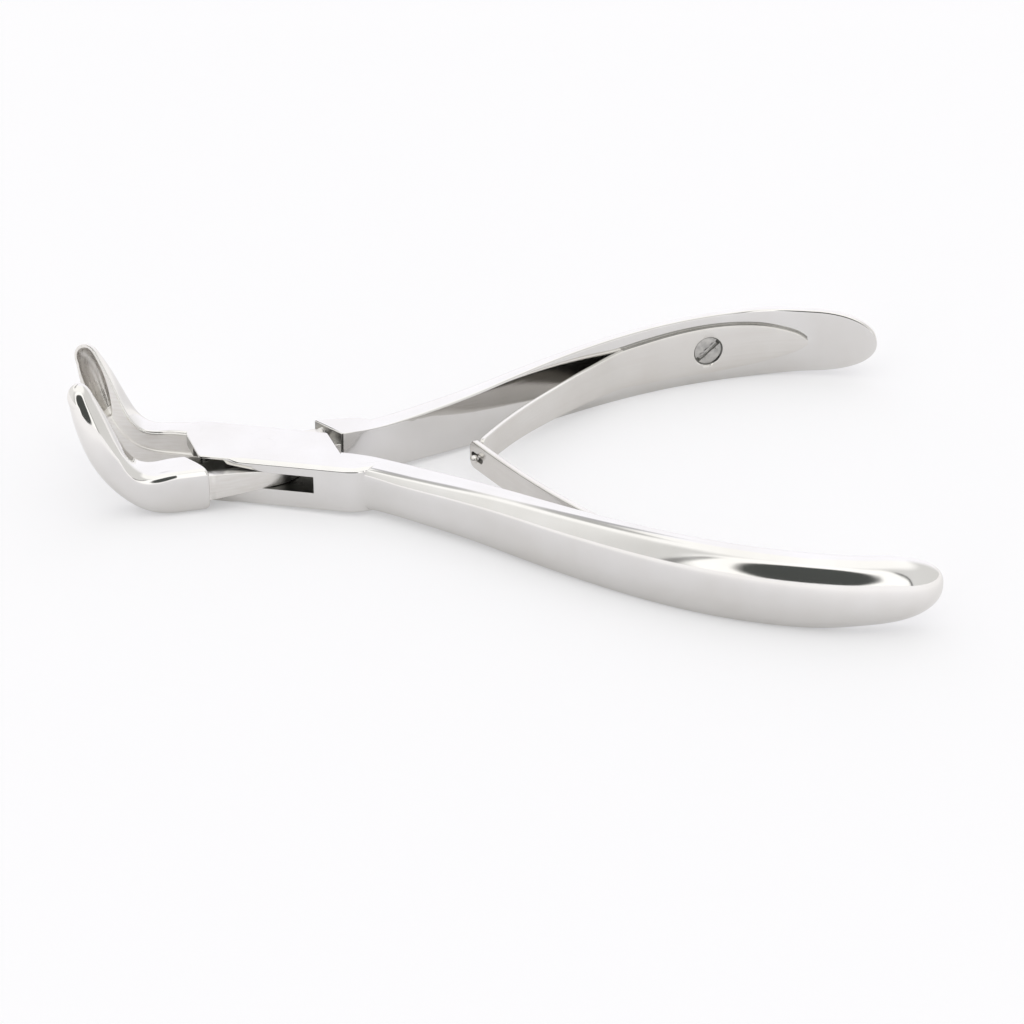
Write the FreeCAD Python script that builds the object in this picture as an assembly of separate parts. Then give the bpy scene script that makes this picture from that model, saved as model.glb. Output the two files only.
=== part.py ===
import FreeCAD, Part
import math
import os

# Bone rongeur with a box lock, in millimetres.
# The origin is on the pivot axis, on the underside of the box lock. +Z is up along the pivot,
# +X runs to the handles and -X to the jaws. The instrument is modelled as it rests: sprung open.
# Each half is drawn in its own closed frame, where the meeting plane is y = 0, and is then turned
# about the pivot by half of the opening.

V = FreeCAD.Vector

# Driving dimensions
HALF_OPENING = 13.0        # turn of each half from closed to the sprung-open rest, degrees
LOCK_T = 9.3               # thickness of the box lock, along the pivot
LOCK_W = 13.2              # width of the box lock when closed
END_SLANT = 31.0           # lean of the slanted shoulders off the square, degrees
END_NEAR = 10.6            # x of the shoulder at the outer side of the lock
NOTCH_Y = 1.6              # how far the shoulder runs past the meeting plane
WINDOW_END = 11.0          # x where the slot through the box stops on its outer side
SLOT_H = 3.4               # height of the slot through the box
TONGUE_SLANT = 30.0        # slant of the tongue sides past the pivot, degrees
TONGUE_H = 3.2             # thickness of the tongue in the slot
SHOULDER_GAP = 0.35        # shoulder clearance when the handles are closed
TONGUE_SIDE = 0.15         # how far the tongue's sides stand inside the lock's sides
PIN_R = 2.2                # flush pivot pin
PIN_PLAY = 0.05            # running clearance of the tongue on the pin
JAW_GAP = 0.06             # half of the gap between the closed jaw rims
NECK_GAP = 0.3             # half of the gap between the closed necks
LEAF_T = 1.0               # thickness of a leaf spring
LEAF_TIP_W = 5.8           # width of a leaf at its tip
LEAF_REAR_X = 114.6        # x of the pointed rear end of a leaf, closed frame
LEAF_LEAVE_X = 75.0        # x where a leaf leaves its handle, closed frame
LEAF_MID_Z = LOCK_T / 2.0 + 0.2
SCREW_X = 94.0             # x of the spring screws in the closed frame
SCREW_HEAD_R = 2.78
SCREW_SHANK_R = 1.3
BALL_R = 0.8               # ball at the end of the far leaf
BALL_REACH = 2.5           # from the end of the far blade to the middle of the ball
NECK_R = 0.5               # neck that carries the ball
NECK_SLOT_R = 0.65         # half height of the slot in the near leaf
SLOT_LENGTH = 2.4          # length of the straight part of that slot
SLOT_SETBACK = 2.4         # from the tip of the near leaf to the middle of the slot
MID_Z = LOCK_T / 2.0
REACH = 70.0               # past everything, for cutters that run right through
SLOT_Z = 5.3               # middle height of the slot and of the tongue

# Inner face of a handle seen from above, closed frame, +Y side
HANDLE_PLAN = [(14.0, 0.20), (20.3, 0.55), (26.4, 2.0), (33.5, 4.3), (42.3, 7.5), (53.5, 12.3),
               (65.4, 17.1), (77.0, 20.8), (87.5, 23.1), (98.0, 24.1), (108.1, 23.7),
               (118.0, 21.2), (127.5, 17.3), (133.0, 14.5)]

# Stations along a handle: x, height, depth, roundness of the outer side
HANDLE_STATIONS = [(18.0, 9.3, 4.9, 0.0), (23.0, 9.3, 5.0, 0.1), (28.0, 9.6, 5.2, 0.3),
                   (34.5, 10.2, 5.2, 0.6), (42.3, 11.1, 5.0, 0.85), (50.0, 12.1, 4.8, 1.0),
                   (58.0, 13.0, 4.7, 1.0), (66.0, 13.7, 4.6, 1.0), (76.0, 14.4, 4.6, 1.0),
                   (87.0, 14.8, 4.6, 1.0), (98.0, 14.9, 4.6, 1.0), (108.0, 14.5, 4.6, 1.0),
                   (116.0, 13.5, 4.6, 1.0)]
HANDLE_END_X = 127.5       # x of the rounded end of the inner face

# Jaw rims seen from the side: lower outer rim point, upper inner rim point, depth, squareness
JAW_STATIONS = [((-7.5, 0.0), (-7.5, 9.3), 6.6, 6.4), ((-12.5, 0.0), (-12.5, 9.3), 6.6, 6.0),
                ((-17.4, 0.0), (-17.4, 9.3), 6.6, 5.6),
                ((-21.9, 0.6), (-20.6, 9.0), 6.5, 4.8), ((-25.8, 2.7), (-23.3, 9.4), 6.2, 4.0),
                ((-29.3, 6.0), (-25.3, 11.3), 5.7, 3.4), ((-32.0, 10.0), (-26.8, 14.3), 5.1, 3.0),
                ((-33.8, 14.4), (-28.2, 17.8), 4.5, 2.7), ((-34.9, 18.9), (-29.7, 21.3), 3.9, 2.5),
                ((-35.4, 22.4), (-31.0, 24.1), 3.3, 2.3)]
# Share of the recess of the inner face at each of these stations
RECESS_SHARES = [1.0, 1.0, 1.0, 0.9, 0.45, 0.1, 0.0, 0.0, 0.0, 0.0]
FAR_RECESS = NOTCH_Y       # how far the far jaw's root stands back from the meeting plane
NEAR_RECESS = 0.6          # the same for the near jaw
BLOCK_ROUND = 1.7          # rounding of the near jaw's block, at its outer and lower corners
TIP_LEAN = 0.1             # drift of the tip towards the inner side of the beak
CUP_FROM_Z = 12.0          # height where the cup starts
CUP_STAND = 0.3            # how far the cup cutter stands out of the rim plane
JAW_TIP_RISE = 3.4         # from the last station to the top of the rounded tip
CUP_RIM = 0.5              # width of the rim round the cup


def turned(shape, degrees):
    """A copy of the shape turned about the pivot axis."""
    out = shape.copy()
    out.rotate(V(0, 0, 0), V(0, 0, 1), degrees)
    return out


def mirrored(shape):
    """A copy of the shape mirrored across the meeting plane."""
    return shape.mirror(V(0, 0, 0), V(0, 1, 0))


def spline(points):
    """An edge that passes smoothly through the points."""
    curve = Part.BSplineCurve()
    curve.interpolate([V(*p) for p in points])
    return curve.toShape()


def prism(points, z0, z1):
    """An upright prism on a plan outline."""
    ring = [V(x, y, z0) for x, y in points]
    wire = Part.makePolygon(ring + [ring[0]])
    return Part.Face(wire).extrude(V(0, 0, z1 - z0))


def one_solid(shape):
    """The largest solid of a boolean result, with seams between coplanar faces removed."""
    clean = shape.removeSplitter()
    return max(clean.Solids, key=lambda s: s.Volume)


def shoulder_point(y, offset):
    """The x on the right shoulder line at height y, pushed outwards by an offset."""
    lean = math.radians(END_SLANT)
    reach = END_NEAR * math.cos(lean) + LOCK_W / 2 * math.sin(lean)
    return (reach + offset - y * math.sin(lean)) / math.cos(lean)


def plan_curve():
    """The inner face line of the +Y handle, as a curve."""
    curve = Part.BSplineCurve()
    curve.interpolate([V(x, y, 0) for x, y in HANDLE_PLAN])
    return curve


def frame_at(curve, x):
    """Point, direction and outward normal of the inner face line at an x."""
    lo = curve.FirstParameter
    hi = curve.LastParameter
    for _ in range(50):
        mid = (lo + hi) / 2
        if curve.value(mid).x < x:
            lo = mid
        else:
            hi = mid
    point = curve.value(lo)
    along = curve.tangent(lo)[0]
    along.normalize()
    return point, along, V(-along.y, along.x, 0)


def d_section(point, normal, height, depth, roundness, tuck):
    """A handle section: flat inner side, and three outer facets that swell into one round back."""
    half = height / 2
    power = 2.0 / 2.3
    corner = math.radians(48)

    def back(angle):
        out = depth * abs(math.cos(angle)) ** power
        up = half * math.copysign(abs(math.sin(angle)) ** power, math.sin(angle))
        return out, up

    def place(out, up):
        p = point + normal * out
        return V(p.x, p.y, MID_Z + up)

    marks = [math.pi / 2, corner, -corner, -math.pi / 2]
    run = [place(-tuck, half)]
    for a, b in zip(marks[:-1], marks[1:]):
        start = back(a)
        end = back(b)
        for i in range(9):
            f = i / 8.0
            curve_out, curve_up = back(a + (b - a) * f)
            flat_out = start[0] + (end[0] - start[0]) * f
            flat_up = start[1] + (end[1] - start[1]) * f
            out = flat_out + (curve_out - flat_out) * roundness
            up = flat_up + (curve_up - flat_up) * roundness
            if i < 8 or b == marks[-1]:
                run.append(place(out, up))
    run.append(place(-tuck, -half))
    return run


def inner_side(curve, reach):
    """Everything on the inner side of the handle's face line, as a prism with that exact face."""
    start = curve.value(curve.FirstParameter)
    end = curve.value(curve.LastParameter)
    z0 = -20.0
    face_edge = curve.toShape()
    a = V(start.x, start.y, 0)
    b = V(end.x, end.y, 0)
    c = V(end.x, -reach, 0)
    d = V(start.x, -reach, 0)
    wire = Part.Wire([face_edge, Part.makeLine(b, c), Part.makeLine(c, d), Part.makeLine(d, a)])
    face = Part.Face(wire)
    face.translate(V(0, 0, z0))
    return face.extrude(V(0, 0, 50))


def outer_side(curve, reach):
    """Everything on the outer side of the handle's face line."""
    start = curve.value(curve.FirstParameter)
    end = curve.value(curve.LastParameter)
    a = V(start.x, start.y, 0)
    b = V(end.x, end.y, 0)
    c = V(end.x, reach, 0)
    d = V(start.x, reach, 0)
    wire = Part.Wire([curve.toShape(), Part.makeLine(b, c), Part.makeLine(c, d), Part.makeLine(d, a)])
    face = Part.Face(wire)
    face.translate(V(0, 0, -20.0))
    return face.extrude(V(0, 0, 50))


def skin(rows):
    """A solid under a smooth surface through rows of points, closed across its two open sides."""
    surface = Part.BSplineSurface()
    surface.interpolate(rows)
    outer = surface.toShape()
    u0, u1, v0, v1 = surface.bounds()
    side_a = surface.vIso(v0).toShape()
    side_b = surface.vIso(v1).toShape()
    faces = [outer, Part.makeRuledSurface(side_a, side_b)]
    for u in (u0, u1):
        cap = surface.uIso(u).toShape()
        ends = [cap.valueAt(cap.FirstParameter), cap.valueAt(cap.LastParameter)]
        faces.append(Part.Face(Part.Wire([cap, Part.makeLine(ends[1], ends[0])])))
    shell = Part.makeShell(faces)
    shell.sewShape(0.001)
    solid = Part.Solid(shell.Shells[0])
    if solid.Volume < 0:
        solid.reverse()
    return solid


def through(values):
    """A smooth curve through up to three numbers per station, by station index."""
    curve = Part.BSplineCurve()
    curve.interpolate(Points=[V(*v) for v in values], Parameters=[float(i) for i in range(len(values))])
    return curve


def handle():
    """The +Y handle in the closed frame: flat inner face, rounded back, rounded end."""
    curve = plan_curve()
    table = through([(x, height, depth) for x, height, depth, roundness in HANDLE_STATIONS])
    rounds = [row[3] for row in HANDLE_STATIONS]
    rows = []
    count = len(HANDLE_STATIONS) - 1
    for i in range(2 * count + 1):
        spot = i / 2.0
        x, height, depth = table.value(spot)
        low = int(min(spot, count - 1))
        roundness = rounds[low] + (rounds[low + 1] - rounds[low]) * (spot - low)
        point, along, normal = frame_at(curve, x)
        rows.append(d_section(point, normal, height, depth, roundness, 0.4))
    last = HANDLE_STATIONS[-1]
    span = HANDLE_END_X - last[0]
    for degrees in (10, 20, 30, 40, 50, 60, 69, 77, 83, 87):
        f = math.sin(math.radians(degrees))
        point, along, normal = frame_at(curve, last[0] + span * f)
        height = last[1] * math.cos(math.radians(degrees)) ** 0.92
        depth_f = max(0.0, (f - 0.4) / 0.6)
        depth = max(last[2] * math.sqrt(1 - depth_f ** 2), 0.3)
        rows.append(d_section(point, normal, height, depth, 1.0, 0.4))
    return skin(rows).cut(inner_side(curve, 40.0))


def jaw_rows(steps):
    """Rows of the beak from the lock to its tip: centre, across, half width, depth, power, recess."""
    lows = through([(low[0], low[1], 0) for low, high, depth, power in JAW_STATIONS])
    highs = through([(high[0], high[1], 0) for low, high, depth, power in JAW_STATIONS])
    sizes = through([(row[2], row[3], share) for row, share in zip(JAW_STATIONS, RECESS_SHARES)])
    rows = []
    for i in range(steps * (len(JAW_STATIONS) - 1) + 1):
        spot = i / float(steps)
        low = lows.value(spot)
        high = highs.value(spot)
        depth, power, share = sizes.value(spot)
        dx = high.x - low.x
        dz = high.y - low.y
        width = math.hypot(dx, dz)
        centre = ((low.x + high.x) / 2, (low.y + high.y) / 2)
        share = min(max(share, 0.0), 1.0)
        rows.append((centre, (dx / width, dz / width), width / 2, depth, power, share))
    centre, across, half, depth, power, share = rows[-1]
    ahead = (-across[1], across[0])
    for degrees in (14, 28, 41, 53, 64, 74, 82, 87):
        f = math.sin(math.radians(degrees))
        rise = JAW_TIP_RISE * f
        shift = TIP_LEAN * rise * f
        c = (centre[0] + ahead[0] * rise + across[0] * shift, centre[1] + ahead[1] * rise + across[1] * shift)
        round_off = math.cos(math.radians(degrees)) ** 0.9
        rows.append((c, across, half * round_off, max(depth * round_off ** 0.8, 0.25), power, 0.0))
    return rows


def bulge(half, depth, power, count):
    """Evenly spaced points over a half superellipse, from one end of its flat side to the other."""
    dense = []
    for i in range(721):
        angle = math.pi * i / 720.0
        c = abs(math.cos(angle)) / half
        s = abs(math.sin(angle)) / depth
        reach = (c ** power + s ** power) ** (-1.0 / power)
        dense.append((reach * math.cos(angle), reach * math.sin(angle)))
    run = [0.0]
    for a, b in zip(dense[:-1], dense[1:]):
        run.append(run[-1] + math.hypot(b[0] - a[0], b[1] - a[1]))
    points = [(half, 0.0)]
    k = 0
    for i in range(1, count - 1):
        goal = run[-1] * i / (count - 1.0)
        while run[k + 1] < goal:
            k += 1
        f = (goal - run[k]) / (run[k + 1] - run[k])
        a, b = dense[k], dense[k + 1]
        points.append((a[0] + (b[0] - a[0]) * f, a[1] + (b[1] - a[1]) * f))
    points.append((-half, 0.0))
    return points


def jaw(recess):
    """The +Y beak: a curved scoop with a flat rim on the meeting plane and a rounded back."""
    rows = []
    for centre, across, half, depth, power, share in jaw_rows(2):
        back = recess * share
        run = []
        for a, out in bulge(half, depth - back, power, 27):
            out = out + back
            run.append(V(centre[0] + across[0] * a, out, centre[1] + across[1] * a))
        rows.append(run)
    return skin(rows).cut(cup())


def cup():
    """The hollow of a beak, as a spoon-shaped cutter that stands a little out of the rim plane."""
    stations = [row for row in jaw_rows(4)[:-2] if row[0][1] > CUP_FROM_Z]
    rows = []
    count = len(stations) - 1
    for index, (centre, across, half, depth, power, share) in enumerate(stations):
        f = index / float(count)
        swell = math.sin(math.pi * min(1.0, f * 1.5 + 0.05) / 2) ** 0.7
        close = math.sqrt(max(0.0, 1 - max(0.0, (f - 0.55) / 0.45) ** 2.4))
        a = max((half - CUP_RIM) * swell, 0.2)
        b = CUP_STAND + max((depth - 1.5) * swell * close, 0.1)
        run = []
        for u, out in bulge(a, b, 2.0, 17):
            out = out - CUP_STAND
            run.append(V(centre[0] + across[0] * u, out, centre[1] + across[1] * u))
        rows.append(run)
    return skin(rows)


def rim_gap_cut():
    """The thin slab over the meeting plane that keeps the closed rims apart."""
    return Part.makeBox(REACH, 2 * JAW_GAP, REACH, V(-REACH, -JAW_GAP, -LOCK_T))


def slot_outline(grow):
    """Plan of the slot through the box lock, from window to window."""
    side = LOCK_W / 2
    slope = (side - NOTCH_Y) / (shoulder_point(-NOTCH_Y, 0) - WINDOW_END)
    notch_x = shoulder_point(-NOTCH_Y, 0)
    low_x = WINDOW_END - 1.0 / slope
    half = [(low_x, -side - 1.0), (notch_x, -NOTCH_Y), (notch_x + 1.2, 1.0), (notch_x + 1.2, side + 1.0)]
    other = [(-x, -y) for x, y in half]
    return half + other


def leaning_prism(profile, y0, y1):
    """A side profile (x, z) given at y = -LOCK_W/2, swept along the slanted shoulder direction."""
    lean = math.tan(math.radians(END_SLANT))
    base = -LOCK_W / 2
    ring = [V(x - (y0 - base) * lean, y0, z) for x, z in profile]
    wire = Part.makePolygon(ring + [ring[0]])
    return Part.Face(wire).extrude(V(-(y1 - y0) * lean, y1 - y0, 0))


def half_turn(shape):
    """A copy of the shape turned half a turn about the pivot."""
    return turned(shape, 180)


def relief():
    """Clearance in the plates for the flare of the tongue, over and under it, at the jaw end."""
    base = SLOT_Z + SLOT_H / 2
    profile = [(3.2, SLOT_Z), (3.2, base - 0.02), (2.4, base), (-5.2, 8.0), (-6.1, 8.8),
               (-22.0, 8.8), (-22.0, SLOT_Z)]
    upper = leaning_prism(profile, -LOCK_W / 2 - 1.5, 3.5)
    low = SLOT_Z - SLOT_H / 2
    profile = [(3.2, SLOT_Z), (3.2, low + 0.02), (2.4, low), (-5.2, 2.0), (-6.4, 0.7),
               (-22.0, 0.7), (-22.0, SLOT_Z)]
    lower = leaning_prism(profile, -LOCK_W / 2 - 1.5, 3.5)
    return upper.fuse(lower)


def neck_block(side_sign):
    """The lock's end that runs into a handle: rounded outside, and flush with the handle's inner face."""
    side = LOCK_W / 2
    plan = [(13.0, side), (15.6, side), (17.6, side - 0.12), (19.3, side - 0.5), (20.7, side - 1.2),
            (21.8, side - 2.2), (22.6, side - 3.5), (23.2, side - 4.7), (23.2, 0.0), (13.0, 0.0)]
    block = prism(plan, 0.0, LOCK_T).cut(inner_side(plan_curve(), LOCK_W))
    if side_sign < 0:
        block = mirrored(block)
    return block


def box_half():
    """One forging: the far jaw, the box lock with its slot, and the near handle."""
    side = LOCK_W / 2
    notch = shoulder_point(-NOTCH_Y, 0)
    block = prism([(-END_NEAR, -side), (14.0, -side), (14.0, -NOTCH_Y), (notch, -NOTCH_Y),
                   (shoulder_point(side, 0), side), (-13.0, side), (-16.0, side - 1.5), (-notch, NOTCH_Y)],
                  0.0, LOCK_T)
    behind = prism([(13.0, -side), (30.0, -side), (30.0, 0), (shoulder_point(0, 0), 0), (notch, -NOTCH_Y),
                    (13.0, -NOTCH_Y)], 0.0, LOCK_T)
    neck = neck_block(-1).common(behind)
    slot = prism(slot_outline(0), SLOT_Z - SLOT_H / 2, SLOT_Z + SLOT_H / 2)
    wide = relief()
    limits = prism(slot_outline(0), -5, LOCK_T + 5)
    reliefs = wide.common(limits).fuse(half_turn(wide).common(limits))
    far_jaw = jaw(FAR_RECESS).cut(rim_gap_cut())
    near_handle = mirrored(handle())
    whole = block.fuse(neck)
    whole = whole.fuse(near_handle)
    whole = whole.fuse(far_jaw)
    whole = whole.cut(slot)
    whole = whole.cut(reliefs)
    bore = Part.makeCylinder(PIN_R, LOCK_T + 2, V(0, 0, -1))
    whole = whole.cut(bore)
    whole = whole.cut(screw_hole(-1))
    return turned(one_solid(whole), -HALF_OPENING)


def tongue_plan():
    """Plan of the tongue between its two shoulders."""
    side = LOCK_W / 2 - TONGUE_SIDE
    slope = math.tan(math.radians(TONGUE_SLANT))
    bend = 0.4
    meet = bend + (side + NECK_GAP) / slope
    half = [(bend, -side), (meet, NECK_GAP), (shoulder_point(side, 0) + 4.0, NECK_GAP + 0.2),
            (shoulder_point(side, 0) + 2.0, side)]
    other = [(-x, -y) for x, y in half]
    return half + other


def tongue_flare():
    """The tongue thickens towards each shoulder, and a small fillet takes it into the shoulder's face."""
    base = SLOT_Z + TONGUE_H / 2
    low = SLOT_Z - TONGUE_H / 2
    end = -END_NEAR - SHOULDER_GAP / math.cos(math.radians(END_SLANT))
    outer = -LOCK_W / 2
    profile = [(0.5, low), (0.5, base), (-5.5, 7.35), (end - 2.0, 7.6), (end - 2.0, 2.45), (-5.5, 3.0)]
    plate = leaning_prism(profile, outer - 1.0, 1.6)
    profile = [(end + 1.2, 5.0), (end + 1.2, 7.55), (end + 0.5, 7.75), (end + 0.15, 8.15), (end, 8.7),
               (end - 1.0, 8.7), (end - 1.0, 1.0), (end, 1.0), (end + 0.2, 1.7), (end + 0.7, 2.2),
               (end + 1.6, 2.5)]
    fillet = leaning_prism(profile, outer + BLOCK_ROUND, 1.6)
    return plate.fuse(fillet)


def rounded_block():
    """The room of the near jaw: it ends in the slanted shoulder, with a rounded outer and lower corner."""
    side = LOCK_W / 2
    far = side + JAW_TIP_RISE
    end = -shoulder_point(side, SHOULDER_GAP)
    other = -shoulder_point(-far, SHOULDER_GAP)
    room = prism([(-REACH, -side - 0.02), (end, -side - 0.02), (other, far), (-REACH, far)], -0.02, REACH)
    edges = []
    for edge in room.Edges:
        box = edge.BoundBox
        upright = box.ZLength > 1 and abs(box.Center.x - end) < 0.1 and box.Center.y < 0
        lower = box.ZMax < 1 and box.YLength > 1 and box.XMin > -REACH + 1
        if upright or lower:
            edges.append(edge)
    return room.makeFillet(BLOCK_ROUND, edges)


def tongue_half():
    """One forging: the near jaw with its block, the tongue, and the far handle with its shoulder."""
    side = LOCK_W / 2
    tongue = prism(tongue_plan(), SLOT_Z - TONGUE_H / 2, SLOT_Z + TONGUE_H / 2)
    flare = tongue_flare().common(prism(tongue_plan(), -1, LOCK_T + 1))
    flares = flare.fuse(half_turn(flare))
    beyond = prism([(shoulder_point(side + 1, SHOULDER_GAP), side + 1), (30.0, side + 1), (30.0, 0),
                    (shoulder_point(0, SHOULDER_GAP), 0)], 0.0, LOCK_T)
    hand_block = neck_block(1).fuse(prism([(9.0, 0), (13.0, 0), (13.0, side), (9.0, side)], 0.0, LOCK_T))
    hand_block = hand_block.common(beyond)
    near_jaw = mirrored(jaw(NEAR_RECESS)).cut(rim_gap_cut())
    near_jaw = near_jaw.common(rounded_block())
    whole = tongue.fuse(flares)
    whole = whole.fuse(hand_block)
    whole = whole.fuse(handle())
    whole = whole.fuse(near_jaw)
    bore = Part.makeCylinder(PIN_R + PIN_PLAY, LOCK_T + 2, V(0, 0, -1))
    whole = whole.cut(bore)
    whole = whole.cut(screw_hole(1))
    return turned(one_solid(whole), HALF_OPENING)


def pivot_pin():
    """The flush rivet that both halves turn on."""
    return Part.makeCylinder(PIN_R, LOCK_T, V(0, 0, 0))


def screw_frame():
    """Seat point on the +Y handle's inner face and the unit direction out of the handle."""
    point, along, normal = frame_at(plan_curve(), SCREW_X)
    return V(point.x, point.y, MID_Z + 0.2), V(-normal.x, -normal.y, 0), along


def screw_hole(side):
    """Tapped hole for a spring screw in the handle on one side."""
    seat, out, along = screw_frame()
    hole = Part.makeCylinder(SCREW_SHANK_R, 4.1, seat + out * 0.3, out * -1.0)
    if side < 0:
        hole = mirrored(hole)
    return hole


def screw():
    """Countersunk slotted screw that holds a leaf on the +Y handle, closed frame."""
    seat, out, along = screw_frame()
    shank = Part.makeCylinder(SCREW_SHANK_R, 3.7, seat + out * 0.12, out * -1.0)
    cone = Part.makeCone(2.2, SCREW_HEAD_R, 0.65, seat + out * 0.1, out)
    body = shank.fuse(cone)
    across = along * math.cos(math.radians(38)) + V(0, 0, 1) * math.sin(math.radians(38))
    slot = Part.makeBox(8.0, 0.85, 0.9, V(-4.0, -0.425, 0.0))
    turn = FreeCAD.Rotation(across, out.cross(across), out, "ZXY")
    slot.Placement = FreeCAD.Placement(seat + out * 0.32, turn)
    return one_solid(body.cut(slot))


# Back line of each leaf past the point where it leaves its handle, at rest: x, and the share of the
# way from the meeting plane out to the handle's inner face
FAR_LEAF = [(64.0, 0.96), (60.0, 0.912), (56.0, 0.851), (52.0, 0.775), (48.2, 0.674), (44.4, 0.512),
            (41.6, 0.328), (40.0, 0.192)]
NEAR_LEAF = [(64.0, 0.936), (60.0, 0.868), (56.0, 0.775), (52.0, 0.655), (48.2, 0.501), (44.7, 0.311),
             (41.5, 0.077), (38.4, -0.218)]
# Width of a leaf against x in the closed frame, rear end first
LEAF_WIDTHS = [(114.65, 0.9), (113.5, 2.8), (111.2, 4.9), (107.5, 7.1), (102.5, 8.8), (97.5, 9.7),
               (92.0, 9.9), (86.0, 9.5), (79.0, 8.7), (72.0, 7.9), (64.0, 7.1), (56.0, 6.4), (48.0, 5.9)]


def leaf_points(nodes):
    """The points of a leaf's back line at rest, on the +Y side."""
    curve = plan_curve()
    lean = math.radians(HALF_OPENING)
    points = []
    for x, share in nodes:
        lo = curve.FirstParameter
        hi = curve.LastParameter
        for _ in range(50):
            mid = (lo + hi) / 2
            p = curve.value(mid)
            if p.x * math.cos(lean) - p.y * math.sin(lean) < x:
                lo = mid
            else:
                hi = mid
        p = curve.value(lo)
        points.append(V(x, share * (p.x * math.sin(lean) + p.y * math.cos(lean)), 0))
    return points


def leaf_plan(nodes):
    """Plan of a leaf in the closed frame: its back follows the handle, then bends to the tip."""
    curve = plan_curve()
    rear, along_rear, normal_rear = frame_at(curve, LEAF_REAR_X)
    root, along_root, normal_root = frame_at(curve, LEAF_LEAVE_X)
    seat = plan_curve()
    seat.segment(seat.parameter(root), seat.parameter(rear))
    turn = FreeCAD.Rotation(V(0, 0, 1), -HALF_OPENING)
    free = [turn.multVec(p) for p in leaf_points(nodes)]
    root = seat.value(seat.FirstParameter)
    rear = seat.value(seat.LastParameter)
    points = [root] + free
    end_dir = points[-1] - points[-2]
    end_dir.normalize()
    back = Part.BSplineCurve()
    back.interpolate(Points=points, InitialTangent=along_root * -1.0, FinalTangent=end_dir)
    inward = []
    for i in range(25):
        u = back.FirstParameter + (back.LastParameter - back.FirstParameter) * i / 24.0
        d = back.tangent(u)[0]
        d.normalize()
        inward.append(back.value(u) + V(-d.y, d.x, 0) * LEAF_T)
    for i in range(1, 21):
        x = LEAF_LEAVE_X + (LEAF_REAR_X - LEAF_LEAVE_X) * i / 20.0
        point, along, normal = frame_at(curve, x)
        inward.insert(0, point - normal * LEAF_T)
    front = Part.BSplineCurve()
    front.interpolate(inward)
    seat_edge = seat.toShape()
    a = front.value(front.FirstParameter)
    b = front.value(front.LastParameter)
    wire = Part.Wire([seat_edge, back.toShape(), Part.makeLine(points[-1], b), front.toShape(),
                      Part.makeLine(a, rear)])
    return Part.Face(wire)


def leaf_outline(rows):
    """The side outline of a leaf, symmetric about its middle height, as a slab across all y."""
    upper = [V(x, -60, LEAF_MID_Z + w / 2) for x, w in rows]
    lower = [V(x, -60, LEAF_MID_Z - w / 2) for x, w in rows]
    top = Part.BSplineCurve()
    top.interpolate(upper)
    low = Part.BSplineCurve()
    low.interpolate(lower)
    wire = Part.Wire([top.toShape(), Part.makeLine(upper[-1], lower[-1]), low.toShape(),
                      Part.makeLine(lower[0], upper[0])])
    return Part.Face(wire).extrude(V(0, 120, 0))


def leaf(nodes):
    """A leaf spring for the +Y handle in the closed frame, with its countersunk screw hole."""
    blade = leaf_plan(nodes).extrude(V(0, 0, 30))
    blade.translate(V(0, 0, -10))
    rows = LEAF_WIDTHS + [(42.0, LEAF_TIP_W), (34.0, LEAF_TIP_W)]
    blade = blade.common(leaf_outline(rows))
    seat, out, along = screw_frame()
    bore = Part.makeCone(2.2, 3.0, LEAF_T - 0.1, seat + out * 0.1, out)
    bore = bore.fuse(Part.makeCylinder(2.2, 0.4, seat + out * -0.2, out))
    bore = bore.fuse(Part.makeCylinder(3.0, 1.0, seat + out * LEAF_T, out))
    return one_solid(blade.cut(bore))


def tip_frame(nodes, side):
    """Tip point, direction and outward back normal of a leaf at rest, on the side of its handle."""
    points = leaf_points(nodes)
    a = V(points[-2].x, points[-2].y * side, 0)
    b = V(points[-1].x, points[-1].y * side, 0)
    ahead = b - a
    ahead.normalize()
    inward = V(-ahead.y, ahead.x, 0) * side
    return b, ahead, inward


def far_leaf():
    """The far leaf at rest, with the narrow neck and ball at its tip."""
    blade = turned(leaf(FAR_LEAF), HALF_OPENING)
    tip, ahead, inward = tip_frame(FAR_LEAF, 1)
    middle = tip + inward * (LEAF_T / 2) + V(0, 0, LEAF_MID_Z)
    neck = Part.makeCylinder(NECK_R, BALL_REACH + 0.6, middle - ahead * 0.6, ahead)
    ball = Part.makeSphere(BALL_R, middle + ahead * BALL_REACH)
    return one_solid(blade.fuse(neck).fuse(ball))


def near_leaf():
    """The near leaf at rest, with the countersunk slot that takes the ball neck."""
    blade = turned(mirrored(leaf(NEAR_LEAF)), -HALF_OPENING)
    tip, ahead, inward = tip_frame(NEAR_LEAF, -1)
    centre = tip - ahead * SLOT_SETBACK + inward * (LEAF_T / 2) + V(0, 0, LEAF_MID_Z)
    cutters = []
    for reach in (-SLOT_LENGTH / 2, 0.0, SLOT_LENGTH / 2):
        spot = centre + ahead * reach
        cutters.append(Part.makeCylinder(NECK_SLOT_R, 4.0, spot - inward * 2.0, inward))
        cutters.append(Part.makeCone(NECK_SLOT_R + 0.75, NECK_SLOT_R, 0.75, spot - inward * (LEAF_T / 2 + 0.01),
                                     inward))
    bar = Part.makeBox(SLOT_LENGTH, 2 * NECK_SLOT_R, 4.0, V(-SLOT_LENGTH / 2, -NECK_SLOT_R, -2.0))
    bar.Placement = FreeCAD.Placement(centre, FreeCAD.Rotation(ahead, V(0, 0, 1), inward, "XZY"))
    cutters.append(bar)
    for cutter in cutters:
        blade = blade.cut(cutter)
    return one_solid(blade)


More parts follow.
